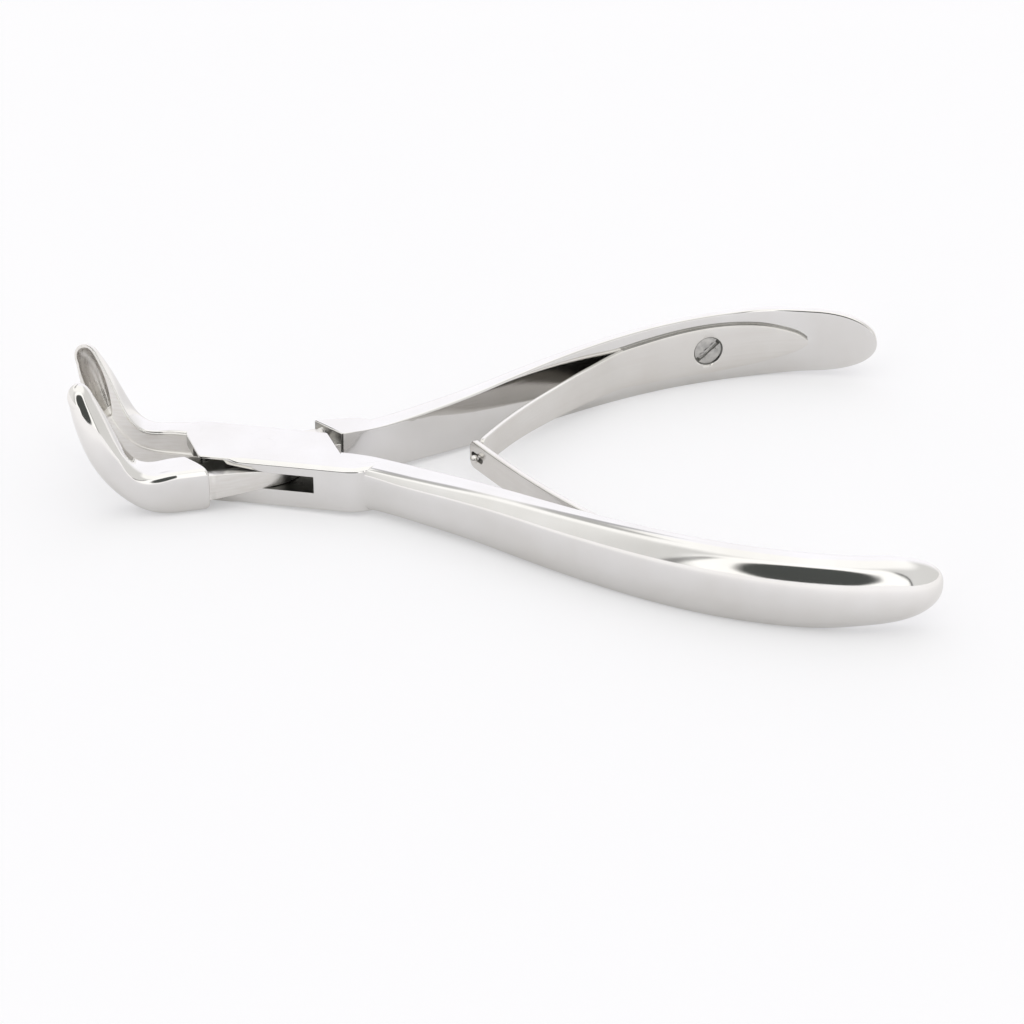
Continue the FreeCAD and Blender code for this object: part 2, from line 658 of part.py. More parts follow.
parts = {}
parts["box_half"] = box_half()
parts["tongue_half"] = tongue_half()
parts["pivot_pin"] = pivot_pin()
parts["far_spring_screw"] = turned(screw(), HALF_OPENING)
parts["near_spring_screw"] = turned(mirrored(screw()), -HALF_OPENING)
parts["far_spring"] = far_leaf()
parts["near_spring"] = near_leaf()

os.makedirs("parts", exist_ok=True)
for name, shape in parts.items():
    box = shape.BoundBox
    print(name, shape.ShapeType, shape.isValid(), round(shape.Volume, 1),
          [round(v, 2) for v in (box.XMin, box.XMax, box.YMin, box.YMax, box.ZMin, box.ZMax)])
    shape.exportStep(os.path.join("parts", name + ".step"))
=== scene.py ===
import bpy
import math
import numpy as np
from mathutils import Matrix, Vector


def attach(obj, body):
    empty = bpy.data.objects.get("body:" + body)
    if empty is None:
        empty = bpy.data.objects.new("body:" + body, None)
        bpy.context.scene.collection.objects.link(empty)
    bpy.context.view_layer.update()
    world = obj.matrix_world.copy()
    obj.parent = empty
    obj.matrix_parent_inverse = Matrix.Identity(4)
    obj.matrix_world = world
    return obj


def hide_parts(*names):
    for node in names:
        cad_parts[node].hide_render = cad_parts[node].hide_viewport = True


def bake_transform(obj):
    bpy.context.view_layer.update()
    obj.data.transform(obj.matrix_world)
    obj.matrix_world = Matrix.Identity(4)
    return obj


# Bone rongeur, sprung open on a white table.
# The instrument is loaded as its fixed frame, with the pivot axis at the origin and the handles along +X.
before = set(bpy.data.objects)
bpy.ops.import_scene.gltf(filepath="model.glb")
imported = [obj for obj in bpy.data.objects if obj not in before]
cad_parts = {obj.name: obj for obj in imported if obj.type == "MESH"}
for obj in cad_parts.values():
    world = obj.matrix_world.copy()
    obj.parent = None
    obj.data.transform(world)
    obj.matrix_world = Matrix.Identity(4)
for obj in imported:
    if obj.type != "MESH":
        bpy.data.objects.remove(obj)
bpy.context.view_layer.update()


# The table and the light tent.
# A matt white sheet lies under the instrument and a white tent stands round it, open at the front: that
# opening is what shows dark in the polish. The table tilts a little, because the instrument rests on the
# jaw block and on the two handles, which hang lower than the lock.
class Socket:
    """One shader socket: arithmetic on it adds Math nodes, and node() makes any other node."""

    def __init__(self, tree, link):
        self.tree = tree
        self.link = link

    def node(self, kind, settings=None, inputs=None, output=0):
        """A node of this kind, with its settings made first and then a value or a link in each input."""
        made = self.tree.nodes.new(kind)
        for name, value in (settings or {}).items():
            if name == "stops":
                for stop, (place, colour) in zip(made.color_ramp.elements, value):
                    stop.position = place
                    stop.color = colour
            else:
                setattr(made, name, value)
        for name, value in (inputs or {}).items():
            if isinstance(value, Socket):
                self.tree.links.new(value.link, made.inputs[name])
            else:
                made.inputs[name].default_value = value
        return Socket(self.tree, made.outputs[output] if len(made.outputs) else None)

    def maths(self, operation, *others):
        """A Math node on this socket and the others, which may be sockets or numbers."""
        values = (self,) + others
        return self.node("ShaderNodeMath", {"operation": operation}, dict(enumerate(values)))

    def __add__(self, other):
        return self.maths("ADD", other)

    def __mul__(self, other):
        return self.maths("MULTIPLY", other)

    def __sub__(self, other):
        return self.maths("SUBTRACT", other)

    def __rsub__(self, other):
        return (self * -1.0) + other

    __radd__ = __add__
    __rmul__ = __mul__


def soft_step(value, low, high):
    """0 up to low, 1 from high on, and a smooth rise between them."""
    return value.node("ShaderNodeMapRange", {"interpolation_type": "SMOOTHSTEP"},
                      {"Value": value, "From Min": low, "From Max": high})


def soft_band(value, middle, flat, fade):
    """1 within flat of the middle, falling smoothly to 0 over the fade outside it."""
    return 1 - soft_step((value - middle).maths("ABSOLUTE"), flat, flat + fade)


def mixed(share, low, high):
    """The colour low where the share is 0, and the colour high where it is 1."""
    return share.node("ShaderNodeMix", {"data_type": "RGBA"}, {0: share, 6: low, 7: high}, 2)


def empty_tree(owner):
    """The first socket in the cleared node tree of a material or of the world."""
    owner.use_nodes = True
    owner.node_tree.nodes.clear()
    return Socket(owner.node_tree, None)


# In millimetres: how much lower the handles hang than the jaw block, how far along that is, and how deep the
# table lies under the pivot.
handle_drop = 2.85
handle_run = 113.0
table_depth = 0.45

sheet_white = (0.66, 0.66, 0.68, 1)
warm_white = (1.0, 0.965, 0.915, 1)
full_white = (1, 1, 1, 1)

table_tilt = math.atan2(handle_drop, handle_run)
bpy.ops.mesh.primitive_plane_add(size=6.0)
table = bpy.context.object
table.name = "white_table"
table.data.transform(Matrix.Rotation(table_tilt, 4, "Y"))
table.location = (0.0, 0.0, -table_depth / 1000.0)

# Seen straight, the sheet glows up to white. Seen in the polish it glows too, warm, and less close by the
# instrument than further out: a painted shade of the instrument round it, seen in the reflections.
paper = bpy.data.materials.new("white_paper")
start = empty_tree(paper)
seen = start.node("ShaderNodeLightPath", output="Is Camera Ray")
glossy = start.node("ShaderNodeLightPath", output="Is Glossy Ray")
place = start.node("ShaderNodeTexCoord", output="Object")
reach = place.node("ShaderNodeVectorMath", {"operation": "DISTANCE"},
                   {0: place, 1: (0.045, 0.0, 0.0)}, "Value")
sheet = start.node("ShaderNodeBsdfDiffuse", None, {"Color": sheet_white, "Roughness": 0.5})
strength = seen * 0.34 + glossy * (0.22 + 0.24 * soft_step(reach, 0.065, 0.14))
glow = start.node("ShaderNodeEmission", None,
                  {"Color": mixed(seen, warm_white, full_white), "Strength": strength})
both = start.node("ShaderNodeAddShader", None, {0: sheet, 1: glow})
start.node("ShaderNodeOutputMaterial", None, {"Surface": both})
table.data.materials.append(paper)

# The tent is told in degrees: the bearing from the front, -Y, towards +X, and the height above the table.
# Its opening is a rounded oblong with brighter flaps round it. Grey seams run down beside the opening and
# along the roof. The roof, the back and the left side are brighter than the rest.
opening_middle = (-6.0, 20.0)
opening_half = (24.0, 23.0)
wall_white = (1.0, 0.99, 0.965, 1)
back_white = (0.975, 0.965, 1.0, 1)
opening_dark = (0.085, 0.09, 0.085, 1)

world = bpy.data.worlds.new("light_tent")
bpy.context.scene.world = world
start = empty_tree(world)
seen = start.node("ShaderNodeLightPath", output="Is Camera Ray")
way = start.node("ShaderNodeTexCoord", output="Generated")
x = way.node("ShaderNodeSeparateXYZ", None, {"Vector": way}, "X")
y = way.node("ShaderNodeSeparateXYZ", None, {"Vector": way}, "Y")
z = way.node("ShaderNodeSeparateXYZ", None, {"Vector": way}, "Z")
bearing = x.maths("ARCTAN2", y * -1.0) * math.degrees(1)
height = z.maths("ARCSINE") * math.degrees(1)
aside = ((bearing - opening_middle[0]) * (1 / opening_half[0])).maths("ABSOLUTE")
above = ((height - opening_middle[1]) * (1 / opening_half[1])).maths("ABSOLUTE")
ring = (aside * aside * aside + above * above * above).maths("POWER", 1 / 3.0)
opening = 1 - soft_step(ring, 0.90, 1.04)
flaps = soft_step(ring, 0.96, 1.06) * (1 - soft_step(ring, 1.35, 1.65))
left_seam = soft_band(bearing - height * 0.2, -44.5, 0.8, 1.8) * (1 - soft_step(height, 28.0, 42.0))
right_seam = soft_band(bearing, 31.0, 1.0, 1.8) * (1 - soft_step(height, 30.0, 42.0))
roof_seam = soft_band(height, 61.5, 1.5, 4.5) * soft_band(bearing, -118.0, 25.0, 25.0)
back = soft_step(bearing.maths("ABSOLUTE"), 115.0, 150.0)
roof = soft_step(height, 40.0, 58.0)
left_side = soft_band(bearing, -88.0, 22.0, 18.0)
walls = (0.84 + 0.16 * left_side + 0.42 * roof + 0.40 * back).maths("MINIMUM", 1.26)
walls = walls + (1.35 - walls) * flaps
seams = (left_seam * 0.62 + right_seam * 0.7 + roof_seam * 0.55).maths("MINIMUM", 1.0)
walls = walls * (1 - seams)
tint = start.node("ShaderNodeVectorMath", {"operation": "SCALE"},
                  {0: mixed(back, wall_white, back_white), "Scale": walls})
lining = mixed(seen, mixed(opening, tint, opening_dark), full_white)
tent = start.node("ShaderNodeBackground", None, {"Color": lining, "Strength": 1.0})
start.node("ShaderNodeOutputWorld", None, {"Surface": tent})

camera_place = (0.0285, -0.5473, 0.310)
camera_target = (0.04583, -0.01068, 0.0)

camera_data = bpy.data.cameras.new("camera")
camera_data.lens = 118.0
camera_data.sensor_width = 36.0
camera_data.clip_start = 0.01
camera = bpy.data.objects.new("camera", camera_data)
bpy.context.scene.collection.objects.link(camera)
camera.location = camera_place
look = Vector(camera_target) - camera.location
camera.rotation_euler = look.to_track_quat("-Z", "Y").to_euler()
bpy.context.scene.camera = camera
bpy.context.scene.view_settings.view_transform = "Standard"


# The box half's handle.
# A bar of stainless steel forged with the rest of the half: flat inside, where the leaf is screwed on, and
# round outside for the palm. It is buffed to a mirror, with a softened edge round the flat.
half_opening = 13.0
lock_height = 9.3
handle_start = 14.9
handle_end = (116.0, 127.5)
handle_edge = 0.5
back_points = 73
corner_points = 7
slope_step = 0.01

# The line of the inner face, seen from above in the closed frame.
handle_line = [(14.0, 0.20), (20.3, 0.55), (26.4, 2.0), (33.5, 4.3), (42.3, 7.5), (53.5, 12.3),
               (65.4, 17.1), (77.0, 20.8), (87.5, 23.1), (98.0, 24.1), (108.1, 23.7), (118.0, 21.2),
               (127.5, 17.3), (133.0, 14.5)]

# At each distance from the pivot: the handle's height, its depth and the power of its back.
handle_sizes = [(14.0, 9.26, 4.9, 5.4), (18.0, 9.26, 4.9, 5.4), (23.0, 9.3, 5.0, 4.8),
                (28.0, 9.6, 5.2, 3.9), (34.5, 10.2, 5.2, 3.5), (42.3, 11.1, 5.0, 3.1),
                (50.0, 12.1, 4.8, 2.75), (58.0, 13.0, 4.7, 2.45), (66.0, 13.7, 4.6, 2.25),
                (76.0, 14.4, 4.6, 2.12), (87.0, 14.8, 4.6, 2.1), (98.0, 14.9, 4.6, 2.1),
                (108.0, 14.5, 4.6, 2.1), (116.0, 13.5, 4.6, 2.1), (128.0, 13.5, 4.6, 2.1)]


def smooth_line(knots, values, at):
    """A natural cubic through the values: its bending at the knots solves the usual three-term equations."""
    knots = np.asarray(knots, float)
    values = np.asarray(values, float).reshape(len(knots), -1)
    step = np.diff(knots)
    slope = np.diff(values, axis=0) / step[:, None]
    system = np.eye(len(knots))
    middle = np.arange(1, len(knots) - 1)
    system[middle, middle - 1] = step[:-1]
    system[middle, middle] = 2 * (step[:-1] + step[1:])
    system[middle, middle + 1] = step[1:]
    right = np.zeros_like(values)
    right[1:-1] = 6 * (slope[1:] - slope[:-1])
    bend = np.linalg.solve(system, right)
    at = np.asarray(at, float)
    span = np.clip(np.searchsorted(knots, at) - 1, 0, len(knots) - 2)
    length = step[span][:, None]
    a = (knots[span + 1] - at)[:, None] / length
    b = 1 - a
    return (a * values[span] + b * values[span + 1]
            + ((a ** 3 - a) * bend[span] + (b ** 3 - b) * bend[span + 1]) * length ** 2 / 6)


def d_ring(half, depth, edge, power, inside=13):
    """Height and reach of a D section, one row per station: a superellipse back of the given power, quarter
    circles of the edge radius, and a straight inner face at reach 0 with its points evenly spread."""
    half, depth, edge, power = (np.asarray(v, float)[:, None] for v in (half, depth, edge, power))
    back = np.radians(np.linspace(-90, 90, back_points))[None, :]
    up = half * np.sign(np.sin(back)) * np.abs(np.sin(back)) ** (2 / power)
    out = edge + (depth - edge) * np.abs(np.cos(back)) ** (2 / power)
    corner = np.radians(np.linspace(0, 90, corner_points + 1)[1:])[None, :]
    top = (half - edge + edge * np.cos(corner), edge - edge * np.sin(corner))
    flat = (half - edge) * np.linspace(1, -1, inside)[None, 1:-1]
    low = (-top[0][:, ::-1], top[1][:, ::-1])
    return (np.concatenate([up, top[0], flat, low[0]], axis=1),
            np.concatenate([out, top[1], flat * 0, low[1]], axis=1))


def grid_mesh(name, rings):
    """A closed skin over rings of points: neighbouring rings are joined by quads, and each end by one face.
    The faces are turned the other way round where the volume that they enclose comes out negative."""
    rows, around, _ = rings.shape
    index = np.arange(rows * around).reshape(rows, around)
    turned = np.roll(index, -1, axis=1)
    quads = np.stack([index[:-1], turned[:-1], turned[1:], index[1:]], axis=-1).reshape(-1, 4)
    ends = np.stack([index[0, ::-1], index[-1]])
    spots = rings.reshape(-1, 3) / 1000.0
    a, b, c, d = (spots[quads[:, k]] - spots.mean(axis=0) for k in range(4))
    volume = np.sum(a * np.cross(b, c)) + np.sum(a * np.cross(c, d))
    if volume < 0:
        quads = quads[:, ::-1]
        ends = ends[:, ::-1]
    faces = quads.tolist() + ends.tolist()
    mesh = bpy.data.meshes.new(name)
    mesh.from_pydata(spots.tolist(), [], faces)
    mesh.polygons.foreach_set("use_smooth", np.ones(len(faces), bool))
    mesh.update()
    piece = bpy.data.objects.new(name, mesh)
    bpy.context.scene.collection.objects.link(piece)
    return piece


def opened(points, side):
    """Points drawn in a half's closed frame, on its +Y side, turned to the sprung-open rest."""
    turn = math.radians(half_opening)
    x = points[..., 0] * math.cos(turn) - points[..., 1] * math.sin(turn)
    y = points[..., 0] * math.sin(turn) + points[..., 1] * math.cos(turn)
    return np.stack([x, y * side, points[..., 2]], axis=-1)


def handle_face(x):
    """The inner face of a handle seen from above: its line at x and the direction out to its back."""
    knots = np.array(handle_line)
    y = smooth_line(knots[:, 0], knots[:, 1], x)[:, 0]
    slope = (smooth_line(knots[:, 0], knots[:, 1], x + slope_step)[:, 0] - y) / slope_step
    return y, np.stack([-slope, np.ones_like(slope)], axis=-1) / np.hypot(slope, 1)[:, None]


def handle_rings():
    """D sections square to the inner face. Past the last station, height and depth close in as a quarter
    circle does."""
    body = np.linspace(handle_start, handle_end[0], 230)
    turn = np.radians(np.linspace(0, 89.4, 44)[1:])
    x = np.concatenate([body, handle_end[0] + (handle_end[1] - handle_end[0]) * np.sin(turn)])
    y, normal = handle_face(x)
    sizes = np.array(handle_sizes)
    height, depth, power = smooth_line(sizes[:, 0], sizes[:, 1:], x).T
    closing = np.concatenate([np.zeros(len(body)), turn])
    height = height * np.cos(closing) ** 0.92
    depth = depth * np.sqrt(np.clip(1 - np.clip((np.sin(closing) - 0.4) / 0.6, 0, 1) ** 2, 0.004, 1))
    edge = np.minimum(handle_edge * np.clip((x - 16.0) / 16.0, 0.3, 1), np.minimum(depth, height) * 0.3)
    up, out = d_ring(height / 2, depth, edge, power)
    return np.stack([x[:, None] + normal[:, :1] * out, y[:, None] + normal[:, 1:] * out,
                     lock_height / 2 + up], axis=-1)


near_handle = grid_mesh("near_handle", opened(handle_rings(), -1))
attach(near_handle, "box_body")
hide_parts("box_half")


def bare_steel(start, tone, roughness, relief):
    """Bare metal of this colour and roughness, with this relief, at the output of its material."""
    steel = start.node("ShaderNodeBsdfPrincipled", None,
                       {"Base Color": tone, "Metallic": 1.0, "Roughness": roughness, "Normal": relief})
    start.node("ShaderNodeOutputMaterial", None, {"Surface": steel})


polished = bpy.data.materials.new("mirror_polished_steel")
start = empty_tree(polished)
place = start.node("ShaderNodeTexCoord", output="Object")
cloud = start.node("ShaderNodeTexNoise", None, {"Vector": place, "Scale": 90.0, "Detail": 4.0})
haze = start.node("ShaderNodeTexNoise", None, {"Vector": place, "Scale": 700.0, "Detail": 5.0})
tone = start.node("ShaderNodeValToRGB",
                  {"stops": [(0.3, (0.76, 0.75, 0.735, 1)), (0.7, (0.81, 0.805, 0.80, 1))]}, {"Fac": cloud})
buff = cloud * 0.05 + haze * 0.04 + 0.03
wave = start.node("ShaderNodeBump", None,
                  {"Strength": 0.10, "Distance": 0.0001, "Height": cloud + haze * 0.08})
bare_steel(start, tone, buff, wave)
near_handle.data.materials.append(polished)


# The far jaw of the box half.
# The beak rises from the lock as a square bar with rounded corners, curves up, and ends in a spoon that is
# hollowed from the inside with a thin rim, ground to meet the rim of the other jaw.
lock_side = 6.6
lock_corner = 10.6
shoulder_lean = math.radians(31.0)
shoulder_gap = 0.35
notch_in = 1.6
meeting_gap = 0.06

# Ten stations of the beak seen from the side: its lower and upper edge, its depth, the power of its back,
# how much of the recess lies in front of its inner face, and the radius of its edges.
jaw_low = [(-7.5, 0.0), (-12.5, 0.0), (-17.4, 0.0), (-21.9, 0.6), (-25.8, 2.7), (-29.3, 6.0), (-32.0, 10.0),
           (-33.8, 14.4), (-34.9, 18.9), (-35.4, 22.4)]
jaw_high = [(-7.5, 9.3), (-12.5, 9.3), (-17.4, 9.3), (-20.6, 9.0), (-23.3, 9.4), (-25.3, 11.3), (-26.8, 14.3),
            (-28.2, 17.8), (-29.7, 21.3), (-31.0, 24.1)]
jaw_depth = [6.6, 6.6, 6.6, 6.5, 6.3, 6.0, 5.8, 5.6, 5.5, 5.4]
jaw_power = [6.4, 6.0, 5.6, 4.8, 4.0, 3.4, 3.0, 2.7, 2.5, 2.3]
jaw_recess = [1.0, 1.0, 1.0, 0.9, 0.45, 0.1, 0.0, 0.0, 0.0, 0.0]
jaw_edge = [0.5, 0.5, 0.5, 0.45, 0.35, 0.25, 0.2, 0.18, 0.18, 0.18]
jaw_tip_rise = 3.4
jaw_tip_length = 16.0

# The hollow starts at a station and ends at an angle round the tip. Its ellipse is drawn a little in front
# of the inner flat, and leaves a rim beside it and a wall behind it.
cup_start = 6
cup_stop = 74.0
cup_lift = 0.3
cup_rim = 0.5
cup_wall = 1.5
cup_points = 49
brim_points = 6
cup_rows = 105
flat_start = back_points + corner_points
flat_points = cup_points + 2 * brim_points


def shoulder_x(y, gap):
    """Where the slanted shoulder stands at a distance y out from the meeting plane."""
    reach = lock_corner * math.cos(shoulder_lean) + lock_side * math.sin(shoulder_lean)
    return (reach + gap - y * math.sin(shoulder_lean)) / math.cos(shoulder_lean)


def hollowed_flat(half, depth, edge, run, live):
    """Height and reach of the inner flat with its hollow, one row per station: straight brims run in from
    the edges, and between them lies a half ellipse. Its width and depth swell from nothing over the first
    part of the run, and the depth fades out along the last part."""
    swell = np.sin(np.pi / 2 * np.minimum(1, run * 1.5 + 0.05)) ** 0.7
    fade = np.sqrt(np.clip(1 - np.clip((run - 0.55) / 0.45, 0, 1) ** 2.4, 0, 1))
    wide = np.maximum((half - cup_rim) * swell, 0.02)
    deep = cup_lift + np.maximum((depth - cup_wall) * swell * fade, 0.0) * live
    begin = np.arcsin(np.clip(cup_lift / deep, 0, 1))
    hollow = np.linspace(0, 1, cup_points)[None, :]
    angle = begin[:, None] + (np.pi - 2 * begin[:, None]) * hollow
    cup_up = wide[:, None] * np.cos(angle)
    cup_out = deep[:, None] * np.sin(angle) - cup_lift
    brim = np.linspace(1, 0, brim_points + 1)[None, :-1]
    inner = (half - edge)[:, None]
    rim_top = cup_up[:, :1] + (inner - cup_up[:, :1]) * brim
    return (np.concatenate([rim_top, cup_up, -rim_top[:, ::-1]], axis=1),
            np.concatenate([rim_top * 0, cup_out, rim_top * 0], axis=1))


def jaw_rings(first, recess):
    """D sections square to the beak's curve, from a first station to the tip, where they close in as a
    quarter circle does. The back also draws in towards the tip, and the inner flat carries the hollow."""
    at = np.linspace(first, 9, 190)
    turn = np.radians(np.linspace(0, 89.0, 40)[1:])
    spot = np.concatenate([at, np.full(len(turn), 9.0)])
    closing = np.concatenate([np.zeros(len(at)), turn])
    knots = np.arange(10)
    low = smooth_line(knots, jaw_low, spot)
    high = smooth_line(knots, jaw_high, spot)
    rest = smooth_line(knots, np.stack([jaw_depth, jaw_power, jaw_recess, jaw_edge], axis=1), spot)
    depth, power, recess_share, edge = rest.T
    span = high - low
    width = np.hypot(span[:, 0], span[:, 1])
    across = span / width[:, None]
    ahead = np.stack([-across[:, 1], across[:, 0]], axis=1)
    rise = jaw_tip_rise * np.sin(closing)
    shrink = np.cos(closing) ** 0.9
    lean = 0.1 * rise * np.sin(closing)
    centre = (low + high) / 2 + ahead * rise[:, None] + across * lean[:, None]
    half = width / 2 * shrink
    steps = np.hypot(*np.diff(centre, axis=0).T)
    left = np.concatenate([np.cumsum(steps[::-1])[::-1], [0.0]])
    taper = 1 - np.clip(left / jaw_tip_length, 0.0003, 1)
    depth = np.maximum(depth * np.sqrt(1 - taper ** 2), 0.12)
    back = recess * np.clip(recess_share, 0, 1) + meeting_gap
    edge = np.minimum(edge, np.minimum(half * 0.4, (depth - back) * 0.4).clip(0.01))
    up, out = d_ring(half, depth - back, edge, power, flat_points + 2)
    round_tip = 0.667 + 0.333 * np.degrees(closing) / cup_stop
    run = np.clip(np.where(closing > 0, round_tip, 0.2222 * (spot - cup_start)), 0, 1)
    live = ((spot > cup_start) & (run < 1)).astype(float)
    flat = slice(flat_start, flat_start + flat_points)
    up[:, flat], out[:, flat] = hollowed_flat(half, depth, edge, run, live)
    out = out + back[:, None]
    x = centre[:, :1] + across[:, :1] * up
    z = centre[:, 1:] + across[:, 1:] * up
    return np.stack([x, out, z], axis=-1)


def finish_jaw(piece, rings):
    """The beak is polished. Its inner flat, a run of quads in each ring, is ground satin, and the hollow in
    the middle of that run shows the strokes of the burr in the last rings, up to the tip."""
    row, column = np.divmod(np.arange(len(piece.data.polygons)), rings.shape[1])
    flat = (column >= flat_start) & (column < flat_start + flat_points - 1) & (row < rings.shape[0] - 1)
    cup_column = column - flat_start - brim_points
    cup = flat & (cup_column >= 0) & (cup_column < cup_points - 1) & (row > rings.shape[0] - cup_rows)
    for finish in (polished, satin, burred):
        piece.data.materials.append(finish)
    piece.data.polygons.foreach_set("material_index", flat.astype(int) + cup)


def worked_steel(name, stretch, detail, dark, light, relief, roughness):
    """Steel with the marks of a tool: noise, drawn out by a different scale along each axis, runs the colour
    from dark to light, lifts the roughness from its first value by its second, and stands up as a relief of
    this strength and depth."""
    made = bpy.data.materials.new(name)
    start = empty_tree(made)
    place = start.node("ShaderNodeTexCoord", output="Object")
    drawn = start.node("ShaderNodeMapping", None, {"Vector": place, "Scale": stretch})
    marks = start.node("ShaderNodeTexNoise", None, {"Vector": drawn, "Scale": 1.0, "Detail": detail})
    tone = start.node("ShaderNodeValToRGB", {"stops": [(0.3, dark), (0.7, light)]}, {"Fac": marks})
    strength, depth = relief
    grooves = start.node("ShaderNodeBump", None, {"Strength": strength, "Distance": depth, "Height": marks})
    least, more = roughness
    bare_steel(start, tone, marks * more + least, grooves)
    return made


satin = worked_steel("satin_ground_steel", (300.0, 300.0, 2200.0), 3.0, (0.78, 0.76, 0.73, 1),
                     (0.84, 0.83, 0.81, 1), (0.1, 0.00006), (0.26, 0.12))
burred = worked_steel("burr_ground_cup_steel", (900.0, 1400.0, 160.0), 4.0, (0.50, 0.485, 0.46, 1),
                      (0.72, 0.70, 0.67, 1), (0.2, 0.0001), (0.2, 0.15))

far_rings = opened(jaw_rings(1.05, notch_in) * [1, -1, 1], -1)
far_jaw = grid_mesh("far_jaw", far_rings)
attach(far_jaw, "box_body")
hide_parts("box_half")
finish_jaw(far_jaw, far_rings)


# The lock of the box half.
# The middle of the forging is a square block with a slot cut through it on a slant by broaching, so that the
# other half passes through. The slot and its mouths are near black, a painted shade; the slanted end faces
# are dark grey with grinding marks, a painted shade too. Its outer edges are rounded over, and the mouths of
# the slot flare open to clear the thick roots of the tongue.
window_end = 11.0
slot_middle = 5.3
slot_height = 3.4
mouth_depth = -3.1
pin_radius = 2.2


def outline(corners, round_off, spacing=0.45):
    """A closed plan: each corner is cut back by its own round_off and bent as a parabola between the cuts,
    and the straights are divided evenly."""
    corners = np.asarray(corners, float)
    before = np.roll(corners, 1, axis=0)
    after = np.roll(corners, -1, axis=0)
    back = np.asarray(round_off, float)[:, None]
    enter = corners + (before - corners) / np.linalg.norm(before - corners, axis=1)[:, None] * back
    leave = corners + (after - corners) / np.linalg.norm(after - corners, axis=1)[:, None] * back
    t = np.linspace(0, 1, 7)[None, :, None]
    bends = enter[:, None] * (1 - t) ** 2 + corners[:, None] * 2 * t * (1 - t) + leave[:, None] * t ** 2
    runs = []
    for bend, start_at, stop_at in zip(bends, leave, np.roll(enter, -1, axis=0)):
        count = max(int(np.linalg.norm(stop_at - start_at) / spacing), 1)
        share = np.linspace(0, 1, count + 1)[1:-1, None]
        runs += [bend, start_at * (1 - share) + stop_at * share]
    return np.concatenate(runs)


def slab_rings(plan, z0, z1, top, low, drop=1.0, power=2.0):
    """Rings up a slab: the plan drawn in by the edge width along quarter superellipses under and over a
    straight side. The widths may differ from point to point of the plan, and the upper edge reaches down by
    drop times its width. A power of 2 makes the edge round, and one near 1 makes it a soft bevel."""
    along = np.roll(plan, -1, axis=0) - np.roll(plan, 1, axis=0)
    inward = np.stack([-along[:, 1], along[:, 0]], axis=1) / np.linalg.norm(along, axis=1)[:, None]
    top = np.broadcast_to(np.asarray(top, float), len(plan))
    low = np.broadcast_to(np.asarray(low, float), len(plan))
    curl = np.radians(np.linspace(0, 90, 10))[:, None]
    side = np.cos(curl).clip(0) ** (2 / power)
    up = np.sin(curl) ** (2 / power)
    draw = np.concatenate([low * (1 - np.cos(curl[::-1])), top * (1 - side)])
    rise = np.concatenate([z0 + low * (1 - np.sin(curl[::-1])), z1 - drop * top * (1 - up)])
    flat = plan[None] + inward[None] * draw[..., None]
    return np.concatenate([flat, rise[..., None]], axis=-1)


def slanted(profile, y0, y1):
    """A side profile swept along the slant of the shoulders, from y0 to y1, as two rings."""
    profile = np.asarray(profile, float)
    ends = []
    for y in (y0, y1):
        x = profile[:, 0] - (y + lock_side) * math.tan(shoulder_lean)
        ends.append(np.stack([x, np.full(len(x), y), profile[:, 1]], axis=-1))
    return np.stack(ends)


def keep_shape(piece):
    """Makes what the piece's modifiers show its own mesh."""
    view = bpy.context.evaluated_depsgraph_get()
    view.update()
    piece.data = bpy.data.meshes.new_from_object(piece.evaluated_get(view))
    piece.modifiers.clear()


def carve(piece, rings, finish):
    """Cuts the solid inside the rings out of a piece, gives the cut its finish, and keeps the result as the
    piece's own mesh."""
    tool = grid_mesh("cutter", rings)
    tool.data.materials.append(finish)
    cut = piece.modifiers.new("cut", "BOOLEAN")
    cut.object = tool
    cut.operation = "DIFFERENCE"
    cut.solver = "EXACT"
    cut.material_mode = "TRANSFER"
    keep_shape(piece)
    bpy.data.objects.remove(tool)


def break_edges(piece, width):
    """Breaks the sharp edges that cutting leaves with a small bevel."""
    bevel = piece.modifiers.new("broken_edge", "BEVEL")
    bevel.width = width / 1000.0
    bevel.segments = 2
    bevel.limit_method = "ANGLE"
    bevel.angle_limit = math.radians(30.0)
    bevel.use_clamp_overlap = True
    keep_shape(piece)


def even_flats(piece):
    """Keeps the flats flat in the shading: the large faces turn the normals of the small ones round them."""
    even = piece.modifiers.new("even_flats", "WEIGHTED_NORMAL")
    even.weight = 80
    even.keep_sharp = True


def paint_shade_on_faces(piece, facing, finish):
    """Gives every face that points within 12 degrees of a direction another finish."""
    count = len(piece.data.polygons)
    normals = np.empty(count * 3)
    piece.data.polygons.foreach_get("normal", normals)
    numbers = np.empty(count, int)
    piece.data.polygons.foreach_get("material_index", numbers)
    way = np.asarray(facing, float) / np.linalg.norm(facing)
    numbers[normals.reshape(-1, 3) @ way > math.cos(math.radians(12))] = len(piece.data.materials)
    piece.data.materials.append(finish)
    piece.data.polygons.foreach_set("material_index", numbers)


def neck_corners(side):
    """The lock's end that runs into a handle, rounded on the outside, from its outer to its inner end."""
    plan = [(17.6, 6.48), (19.3, 6.1), (20.7, 5.4), (21.8, 4.4), (22.6, 3.1), (23.0, 2.2), (21.0, 1.25)]
    return [(x, y * side) for x, y in plan]


near_plan = neck_corners(-1)
notch_x = shoulder_x(-notch_in, 0)
corners = ([(-lock_corner, -lock_side)] + near_plan
           + [(16.4, -0.75), (notch_x, -notch_in), (lock_corner, lock_side), (-13.4, lock_side),
              (-notch_x, lock_side - 1.0), (-notch_x, notch_in)])
plan = outline(corners, [0.35] + [0.6] * 5 + [0.3, 0.3, 0.2, 0.15, 0.35, 0.5, 0.2, 1.6])

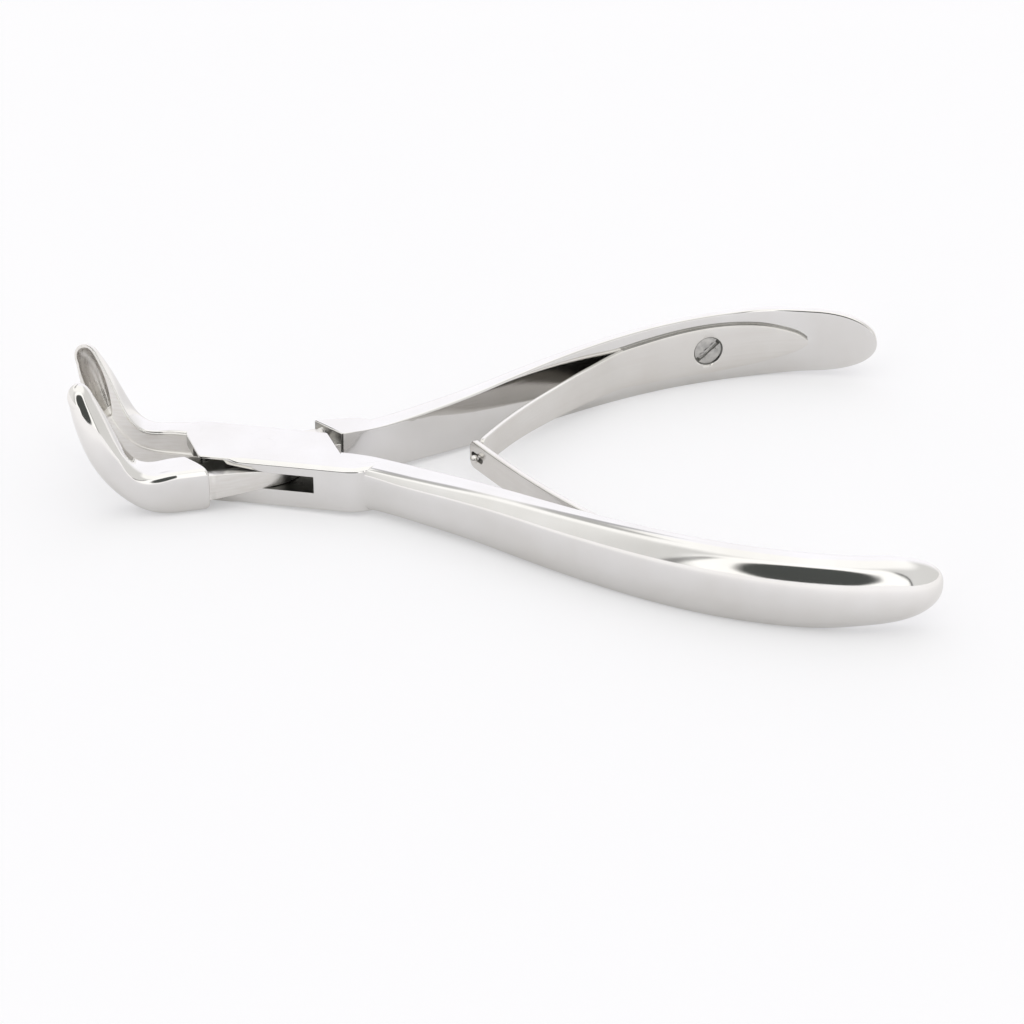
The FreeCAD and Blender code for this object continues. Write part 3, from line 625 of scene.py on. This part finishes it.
# The edge along the near side, from the window's front to the handle, is a wide soft bevel.
near_side = np.interp(plan[:, 0], [-4.9, -3.7, 20.6, 21.6], [0, 1, 1, 0]) * (plan[:, 1] < -3.0)
top_edge = 0.25 + 0.8 * near_side
low_edge = 0.25 + 0.35 * near_side
lock_box = grid_mesh("lock_box", slab_rings(plan, 0.0, lock_height, top_edge, low_edge, 0.8, 1.4))
lock_box.data.materials.append(polished)

# Near-black steel for the slot, its mouths and the leaves' hole and slot: painted shade over broach marks.
broached_painted_shade = worked_steel("broached_slot_painted_shade", (150.0, 500.0, 900.0), 3.0, (0.12, 0.12, 0.115, 1),
                        (0.17, 0.17, 0.16, 1), (0.15, 0.0001), (0.22, 0.15))
# Dark grey steel for the slanted shoulder faces and the leaf edges by the handle: painted shade over grinding
# marks.
ground_painted_shade = worked_steel("ground_steel_painted_shade", (250.0, 250.0, 1500.0), 3.0, (0.36, 0.355, 0.34, 1),
                      (0.45, 0.445, 0.43, 1), (0.12, 0.00008), (0.15, 0.15))


def slot_plan():
    """The slot seen from above: a parallelogram from window to window, with its ends cut on the slant."""
    slope = (lock_side - notch_in) / (notch_x - window_end)
    half = [(window_end - 1.0 / slope, -lock_side - 1.0), (notch_x, -notch_in), (notch_x + 1.2, 1.0),
            (notch_x + 1.2, lock_side + 1.0)]
    return np.array(half + [(-x, -y) for x, y in half])


cut = slot_plan()
slot_levels = (slot_middle - slot_height / 2, slot_middle + slot_height / 2)
slot = np.stack([np.column_stack([cut, np.full(len(cut), level)]) for level in slot_levels])
carve(lock_box, slot, broached_painted_shade)

# The mouths seen from the side: from the slot's middle, one flares up and one flares down to a lip, and both
# run out past the end of the lock.
upper_mouth = [(2.4, 7.0), (-5.2, 8.0), (-5.9, 8.8), (-22.0, 8.8), (-22.0, slot_middle), (2.4, slot_middle)]
lower_mouth = [(0.6, 3.6), (-5.2, 2.0), (-6.4, 0.7), (-22.0, 0.7), (-22.0, slot_middle), (0.6, slot_middle)]
for profile in (upper_mouth, lower_mouth):
    mouth = slanted(profile, -lock_side - 1.5, mouth_depth)
    carve(lock_box, mouth, broached_painted_shade)
    carve(lock_box, mouth * [-1, -1, 1], broached_painted_shade)
lock_box.data.transform(Matrix.Rotation(-math.radians(half_opening), 4, "Z"))
break_edges(lock_box, 0.12)
# Both slanted end faces of the lock get the dark grey steel: painted shade.
leaning = shoulder_lean - math.radians(half_opening)
for end in (1, -1):
    paint_shade_on_faces(lock_box, (end * math.cos(leaning), end * math.sin(leaning), 0.0), ground_painted_shade)
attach(lock_box, "box_body")
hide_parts("box_half")


# The near jaw of the tongue half.
# The same beak on the other side. Its root is a square block with rounded corners, which stops at a slanted
# shoulder against the lock.
block_round = 0.9
block_rows = 24
block_middle = (3.6, lock_height / 2)
block_half = (3.0, lock_height / 2)


def block_rings(root):
    """The block between the beak's first ring and the shoulder: its rings turn by and by into the shoulder's
    plane, and the ones before them draw in along a quarter circle for its rounded end."""
    share = np.linspace(0, 1, block_rows)[:-1, None]
    straight = np.repeat(root, block_rows - 1, axis=0)
    straight[..., 0] = -shoulder_x(root[..., 1], shoulder_gap) * (1 - share) + root[..., 0] * share
    straight[..., 0] -= block_round * (1 - share)
    curl = np.radians(np.linspace(90, 0, 9))[:-1]
    ends = np.repeat(root, len(curl), axis=0)
    draw = block_round * (1 - np.cos(curl))[:, None]
    for axis, middle, half in zip((1, 2), block_middle, block_half):
        ends[..., axis] = middle + (ends[..., axis] - middle) * (1 - draw / half)
    ends[..., 0] = -shoulder_x(ends[..., 1], shoulder_gap) - (block_round * (1 - np.sin(curl)))[:, None]
    return np.concatenate([ends, straight], axis=0)


beak = jaw_rings(2.0, 0.6)
near_rings = opened(np.concatenate([block_rings(beak[:1]), beak]) * [1, -1, 1], 1)
near_jaw = grid_mesh("near_jaw", near_rings)
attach(near_jaw, "tongue_body")
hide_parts("tongue_half")
finish_jaw(near_jaw, near_rings)


# The tongue, the far handle and its shoulder.
# The flat tongue runs through the slot of the box, thickens on a slant towards both shoulders, and ends in
# the block that the far handle grows out of.
tongue_side = -6.45
tongue_top = 6.9
tongue_low = 3.7
flare_stop = 15.0


def tongue_rings():
    """Rings across the tongue along the slant of the shoulders. A ring's place is its distance q from the
    pivot measured along the lock. The near side of the plan runs straight, curves in behind the pivot and
    ends on the meeting plane, and half a turn gives the far side. Inside the lock the thickness is even.
    Towards the outer side it grows with q, and fillets run up to the shoulders and fade out again at the
    very side."""
    lean = math.tan(shoulder_lean)
    curve = np.linspace(-0.2, 5.2, 12)
    x = np.concatenate([[-16.5], curve, [11.9, 13.5, 16.5]])
    y = np.concatenate([[tongue_side], tongue_side + 0.0667 * (curve + 0.2) ** 2, [0.30, 0.42, 0.5]])
    close = np.linspace(14.2, flare_stop, 12)
    ends = np.array([flare_stop, 15.6, 16.2])
    q = np.unique(np.concatenate([np.linspace(-14.2, 14.2, 120), close, -close, ends, -ends]))
    near = np.interp(q, x + y * lean, y)
    far = -np.interp(-q, x + y * lean, y)
    across = np.concatenate([[0.0, 0.012], np.linspace(0.03, 0.97, 28), [0.988, 1.0]])
    y = near[:, None] + (far - near)[:, None] * across[None]
    x = q[:, None] - y * lean
    out = lock_side * lean - np.abs(q)
    end = lock_side * lean - flare_stop
    top = np.interp(out, [end, -5.5, 0.5], [7.6, 7.35, tongue_top])
    low = np.interp(out, [end, -5.5, 0.5], [2.45, 3.0, tongue_low])
    top_fillet = np.interp(out - end, [-0.1, 0.0, 0.15, 0.5, 1.2], [0.0, 1.1, 0.57, 0.2, 0.0])
    low_fillet = np.interp(out - end, [-0.1, 0.0, 0.2, 0.7, 1.6], [0.0, 1.4, 0.75, 0.27, 0.0])
    outward = y * np.sign(q)[:, None]
    inside = np.clip((lock_side - 0.45 - outward) / 1.3, 0, 1)
    thick = np.clip((outward + mouth_depth - 0.3) / 1.2, 0, 1)
    soft = 0.12 * (1 - np.minimum(np.minimum(across, 1 - across) / 0.012, 1.0))[None]
    top = tongue_top + (top[:, None] - tongue_top + top_fillet[:, None] * inside) * thick
    low = tongue_low + (low[:, None] - tongue_low - low_fillet[:, None] * inside) * thick
    upper = np.stack([x, y, top - soft], axis=-1)
    lower = np.stack([x, y, low + soft], axis=-1)
    return np.concatenate([upper, lower[:, ::-1]], axis=1)


tongue = grid_mesh("tongue", opened(tongue_rings(), 1))
even_flats(tongue)
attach(tongue, "tongue_body")
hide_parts("tongue_half")
tongue.data.materials.append(satin)

shoulder_inner = (shoulder_x(0.25, shoulder_gap), 0.3)
shoulder_outer = (shoulder_x(lock_side, shoulder_gap), lock_side)
corners = [shoulder_inner] + neck_corners(1)[::-1] + [(15.6, lock_side), shoulder_outer]
plan = outline(corners, [0.12, 0.3, 0.3] + [0.55] * 5 + [0.6, 0.25])
edge = 0.2 + 0.7 * np.clip((plan[:, 0] - 13.0) / 3.0, 0, 1) * (plan[:, 1] > 2.5)
shoulder = grid_mesh("far_shoulder", opened(slab_rings(plan, 0.0, lock_height, edge, edge), 1))
even_flats(shoulder)
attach(shoulder, "tongue_body")
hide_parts("tongue_half")
shoulder.data.materials.append(polished)
# The shoulder's slanted face against the lock gets the dark grey steel: painted shade.
leaning = shoulder_lean + math.radians(half_opening)
paint_shade_on_faces(shoulder, (-math.cos(leaning), -math.sin(leaning), 0.0), ground_painted_shade)

far_handle = grid_mesh("far_handle", opened(handle_rings(), 1))
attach(far_handle, "tongue_body")
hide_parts("tongue_half")
far_handle.data.materials.append(polished)


# The pivot pin.
# A steel rivet, pressed and peened into the box and ground flush with it, so that only a hair line shows.
pin_edge = 0.03


def turned_rings(profile, centre, axis, around=64):
    """Circles round an axis. The profile gives each one's distance along the axis and its radius."""
    axis = np.asarray(axis, float) / np.linalg.norm(axis)
    side = np.cross(axis, [0.0, 0.0, 1.0] if abs(axis[2]) < 0.9 else [1.0, 0.0, 0.0])
    side /= np.linalg.norm(side)
    other = np.cross(axis, side)
    turn = np.linspace(0, 2 * np.pi, around, endpoint=False)[:, None]
    circle = side * np.cos(turn) + other * np.sin(turn)
    profile = np.asarray(profile, float)
    return np.asarray(centre, float) + axis * profile[:, :1, None] + circle[None] * profile[:, 1:, None]


carve(lock_box, turned_rings([(-1.0, pin_radius), (11.0, pin_radius)], (0, 0, 0), (0, 0, 1)), polished)
even_flats(lock_box)
pin_profile = [(0.0, pin_radius - pin_edge), (pin_edge, pin_radius), (4.0, pin_radius),
               (lock_height - pin_edge, pin_radius), (lock_height, pin_radius - pin_edge)]
pin = grid_mesh("pivot_rivet", turned_rings(pin_profile, (0, 0, 0), (0, 0, 1)))
even_flats(pin)
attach(pin, "box_body")
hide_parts("pivot_pin")
pin.data.materials.append(polished)


# The leaf springs.
# Two tapered leaves of hardened strip, ground along their length. Each lies on the flat of its handle, and
# past the point where it leaves the handle it bows in to cross the other one near the lock.
leaf_thickness = 1.0
leaf_middle = lock_height / 2 + 0.2
leaf_seat = (114.6, 75.0)
leaf_front_edge = 0.15
leaf_back_edge = 0.38
leaf_corner = 1.4
leaf_seat_rows = 118
hole_radius = 3.12
hole_foot = 2.2
screw_x = 94.0

# The strip's width at each distance from the pivot, along the handle.
leaf_widths = [(34.0, 5.8), (42.0, 5.8), (48.0, 5.9), (56.0, 6.4), (64.0, 7.1), (72.0, 7.9), (79.0, 8.7),
               (86.0, 9.5), (92.0, 9.9), (97.5, 9.7), (102.5, 8.8), (107.5, 7.1), (111.2, 4.9),
               (113.5, 2.8), (114.65, 0.9)]

# The free part of each leaf seen from above, sprung open, from the handle to its tip.
far_bow = [(64.0, 32.6), (60.0, 28.7), (56.0, 24.5), (52.0, 20.1), (48.2, 15.6), (44.4, 10.4),
           (41.6, 6.0), (40.0, 3.3)]
near_bow = [(64.0, 31.8), (60.0, 27.3), (56.0, 22.3), (52.0, 17.0), (48.2, 11.6), (44.7, 6.4),
            (41.5, 1.4), (38.4, -3.5)]


def leaf_line(bow, share):
    """The back of a leaf from above, sprung open, on the +Y side: a natural cubic over the chord length
    through its seat on the handle and the points of its bow, with its direction and the normal towards its
    front."""
    x = np.linspace(leaf_seat[0], leaf_seat[1], 12)
    y, _ = handle_face(x)
    seat = opened(np.stack([x, y, y * 0], axis=-1), 1)[:, :2]
    points = np.concatenate([seat, np.array(bow)])
    run = np.concatenate([[0], np.cumsum(np.hypot(*np.diff(points, axis=0).T))])
    at = run[-1] * np.asarray(share, float)
    spot = smooth_line(run, points, at)
    along = smooth_line(run, points, at + slope_step) - spot
    along /= np.linalg.norm(along, axis=1)[:, None]
    return spot, along, np.stack([-along[:, 1], along[:, 0]], axis=1)


def leaf_rings(bow, side):
    """Rounded oblongs square to the leaf's line, as wide as the strip is at that distance from the pivot:
    each corner is a quarter circle, larger at the back, and the broad sides between them are divided evenly.
    The strip's far end has rounded corners too."""
    ends = (np.linspace(0, 0.06, 25), np.linspace(0.985, 1, 14))
    share = np.concatenate([ends[0], np.linspace(0.064, 0.984, 210), ends[1]])
    spot, along, front = leaf_line(bow, share)
    turn = math.radians(half_opening)
    widths = np.array(leaf_widths)
    x = spot[:, 0] * math.cos(turn) + spot[:, 1] * math.sin(turn)
    half = smooth_line(widths[:, 0], widths[:, 1], x) / 2
    left = np.append(np.cumsum(np.hypot(*np.diff(spot, axis=0).T)[::-1])[::-1], 0.0)
    half -= leaf_corner * (1 - np.sqrt(1 - np.clip(1 - left / leaf_corner, 0, 1)[:, None] ** 2))
    corner = np.radians(np.linspace(0, 90, 5))
    broad = np.linspace(1, -1, 11)[1:-1]
    turns = [corner, corner + np.pi / 2, broad * 0 + np.pi, corner + np.pi, corner + 1.5 * np.pi, broad * 0]
    outs = [corner * 0 + 1, corner * 0 - 1, broad * 0 - 1, corner * 0 - 1, corner * 0 + 1, broad * 0 + 1]
    ups = [corner * 0 + 1, corner * 0 + 1, broad, corner * 0 - 1, corner * 0 - 1, -broad]
    angle = np.concatenate(turns)
    outs = np.concatenate(outs)
    edge = np.where(outs < 0, leaf_back_edge, leaf_front_edge)
    out = outs * (leaf_thickness / 2 - edge) + edge * np.cos(angle) + leaf_thickness / 2
    up = np.concatenate(ups)[None] * (half - edge[None]) + (edge * np.sin(angle))[None]
    flat = spot[:, None, :] + front[:, None, :] * out[None, :, None]
    return np.concatenate([flat * [1, side], (leaf_middle + up)[..., None]], axis=-1)


def screw_place(side):
    """Where a leaf's screw sits on its handle's flat, the way out of the handle and the way along it."""
    y, normal = handle_face(np.array([screw_x]))
    seat = opened(np.array([screw_x, y[0], leaf_middle]), side)
    out = opened(np.array([-normal[0, 0], -normal[0, 1], 0.0]), side)
    return seat, out, np.cross([0.0, 0.0, side], out)


def leaf(name, node, bow, side):
    """One leaf with its countersunk hole, whose walls are near black: painted shade. Where it lies on the
    handle, the edges towards the handle, the quads 4 to 8 and 18 to 23 of each ring, are dark grey steel: a
    painted shadow of the gap between leaf and handle."""
    rings = leaf_rings(bow, side)
    piece = grid_mesh(name, rings)
    row, column = np.divmod(np.arange(len(piece.data.polygons)), rings.shape[1])
    edge = ((column > 3) & (column < 9)) | ((column > 17) & (column < 24))
    piece.data.materials.append(spring_steel)
    piece.data.materials.append(ground_painted_shade)
    piece.data.polygons.foreach_set("material_index", (edge & (row < leaf_seat_rows)).astype(int))
    seat, out, _ = screw_place(side)
    hole = [(-0.5, hole_foot), (0.1, hole_foot), (leaf_thickness + 0.1, hole_radius), (1.6, hole_radius)]
    # The hole's walls get the near-black steel: painted shade.
    carve(piece, turned_rings(hole, seat, out), broached_painted_shade)
    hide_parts(node)
    return piece


def bend_leaf(piece, bow, side):
    """Bakes the piece's placement into its mesh. It works out where its leaf's tip lies, but nothing bends
    the
    piece: it stays as it was drawn."""
    end, _, _ = leaf_line(bow, [1.0])
    y, _ = handle_face(np.array([leaf_seat[1]]))
    tip = np.array([end[0, 0], end[0, 1] * side, leaf_middle]) / 1000.0
    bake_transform(piece)


spring_steel = bpy.data.materials.new("ground_spring_steel")
start = empty_tree(spring_steel)
place = start.node("ShaderNodeTexCoord", output="Object")
along_strip = start.node("ShaderNodeMapping", None, {"Vector": place, "Scale": (25.0, 25.0, 2600.0)})
scratches = start.node("ShaderNodeTexNoise", None, {"Vector": along_strip, "Scale": 1.0, "Detail": 4.0})
cloud = start.node("ShaderNodeTexNoise", None, {"Vector": place, "Scale": 120.0, "Detail": 3.0})
tone = start.node("ShaderNodeValToRGB",
                  {"stops": [(0.3, (0.74, 0.72, 0.69, 1)), (0.7, (0.81, 0.80, 0.78, 1))]},
                  {"Fac": cloud * 0.6 + scratches * 0.4})
lines = start.node("ShaderNodeBump", None, {"Strength": 0.12, "Distance": 0.00006, "Height": scratches})
bare_steel(start, tone, scratches * 0.14 + 0.10, lines)

far_leaf = leaf("far_leaf", "far_spring", far_bow, 1)
bend_leaf(far_leaf, far_bow, 1)

# The near leaf's slot: straight sides and round ends, a little wider at the leaf's back.
slot_radius = 0.65
slot_flare = 0.25
slot_length = 2.4
slot_setback = 2.4


def obround_rings(centre, along, across, radii, depths, straight):
    """Outlines of straight sides and half-circle ends, one for each radius and its depth along the normal."""
    turn = np.linspace(-np.pi / 2, np.pi / 2, 17)
    angle = np.concatenate([turn, turn + np.pi])
    shift = np.repeat([straight / 2, -straight / 2], len(turn))
    radii = np.array(radii)[:, None]
    depths = np.array(depths)[:, None, None]
    run = (shift + radii * np.cos(angle))[..., None]
    rise = (radii * np.sin(angle))[..., None]
    return centre + along * run + across * rise + np.cross(along, across) * depths


near_leaf = leaf("near_leaf", "near_spring", near_bow, -1)
spot, along, front = leaf_line(near_bow, [1.0])
ahead = np.array([along[0, 0], -along[0, 1], 0.0])
inwards = np.array([front[0, 0], -front[0, 1], 0.0])
centre = np.array([spot[0, 0], -spot[0, 1], leaf_middle]) - ahead * slot_setback
upright = np.cross(inwards, ahead)
slot_radii = (slot_radius + slot_flare, slot_radius, slot_radius)
slot_rings = obround_rings(centre, ahead, upright, slot_radii, (-0.2, 0.1, 1.6), slot_length)
# The slot's walls get the near-black steel: painted shade.
carve(near_leaf, slot_rings, broached_painted_shade)
bend_leaf(near_leaf, near_bow, -1)


# The ball at the end of the far leaf.
# A small turned ball on a thin neck. It is put through the other leaf's slot and rests on that leaf's back,
# and so keeps the two leaves together while it slides.
ball_radius = 0.8
neck_radius = 0.5
ball_reach = 2.5

spot, along, front = leaf_line(far_bow, [1.0])
ahead = np.array([along[0, 0], along[0, 1], 0.0])
middle = np.append(spot[0] + front[0] / 2 * leaf_thickness, leaf_middle)
turn = np.radians(np.linspace(math.degrees(math.asin(neck_radius / ball_radius)), 179, 40))
globe = np.stack([ball_reach - ball_radius * np.cos(turn), ball_radius * np.sin(turn)], axis=1)
profile = np.concatenate([[(-0.6, neck_radius - 0.1), (-0.5, neck_radius), (0.8, neck_radius)], globe])
ball = grid_mesh("leaf_ball", turned_rings(profile, middle, ahead, 48))
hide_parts("far_spring")
ball.data.materials.append(spring_steel)
bend_leaf(ball, far_bow, 1)


# The spring screws.
# Slotted countersunk screws of stainless steel, turned from bar, which pull the leaves down on their
# handles. The head sinks a little below the leaf, and the slot stands on the slant where the thread happened
# to stop.
head_radius = 2.93
head_edge = 0.12
shank_radius = 1.3
slot_turn = math.radians(38.0)
slot_half_width = 0.48
slot_floor = 0.22

screw_steel = worked_steel("turned_screw_steel", (900.0, 900.0, 900.0), 5.0, (0.40, 0.40, 0.39, 1),
                           (0.62, 0.61, 0.59, 1), (0.35, 0.0001), (0.2, 0.2))


def screw(name, node, side, body):
    """A turned screw: its shank, the underside of its head, a rounded rim and a nearly flat top, with a slot
    cut across the head."""
    seat, out, along = screw_place(side)
    curl = np.radians(np.linspace(0, 90, 6))
    rim = np.stack([0.62 + head_edge * np.sin(curl),
                    head_radius - head_edge + head_edge * np.cos(curl)], axis=1)
    shank = [(-3.58, shank_radius - 0.15), (-3.4, shank_radius), (0.0, shank_radius), (0.1, hole_foot)]
    profile = np.concatenate([shank, rim, [(0.77, 2.0), (0.79, 0.9)]])
    piece = grid_mesh(name, turned_rings(profile, seat, out))
    across = along * math.cos(slot_turn) + np.array([0, 0, math.sin(slot_turn)])
    width = np.cross(out, across)
    corners = [(-slot_half_width, slot_floor), (slot_half_width, slot_floor), (slot_half_width, 1.3),
               (-slot_half_width, 1.3)]
    ends = [[seat + across * run + width * w + out * h for w, h in corners] for run in (-4.0, 4.0)]
    piece.data.materials.append(screw_steel)
    carve(piece, np.array(ends), screw_steel)
    even_flats(piece)
    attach(piece, body)
    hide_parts(node)


screw("far_screw", "far_spring_screw", 1, "tongue_body")
screw("near_screw", "near_spring_screw", -1, "box_body")
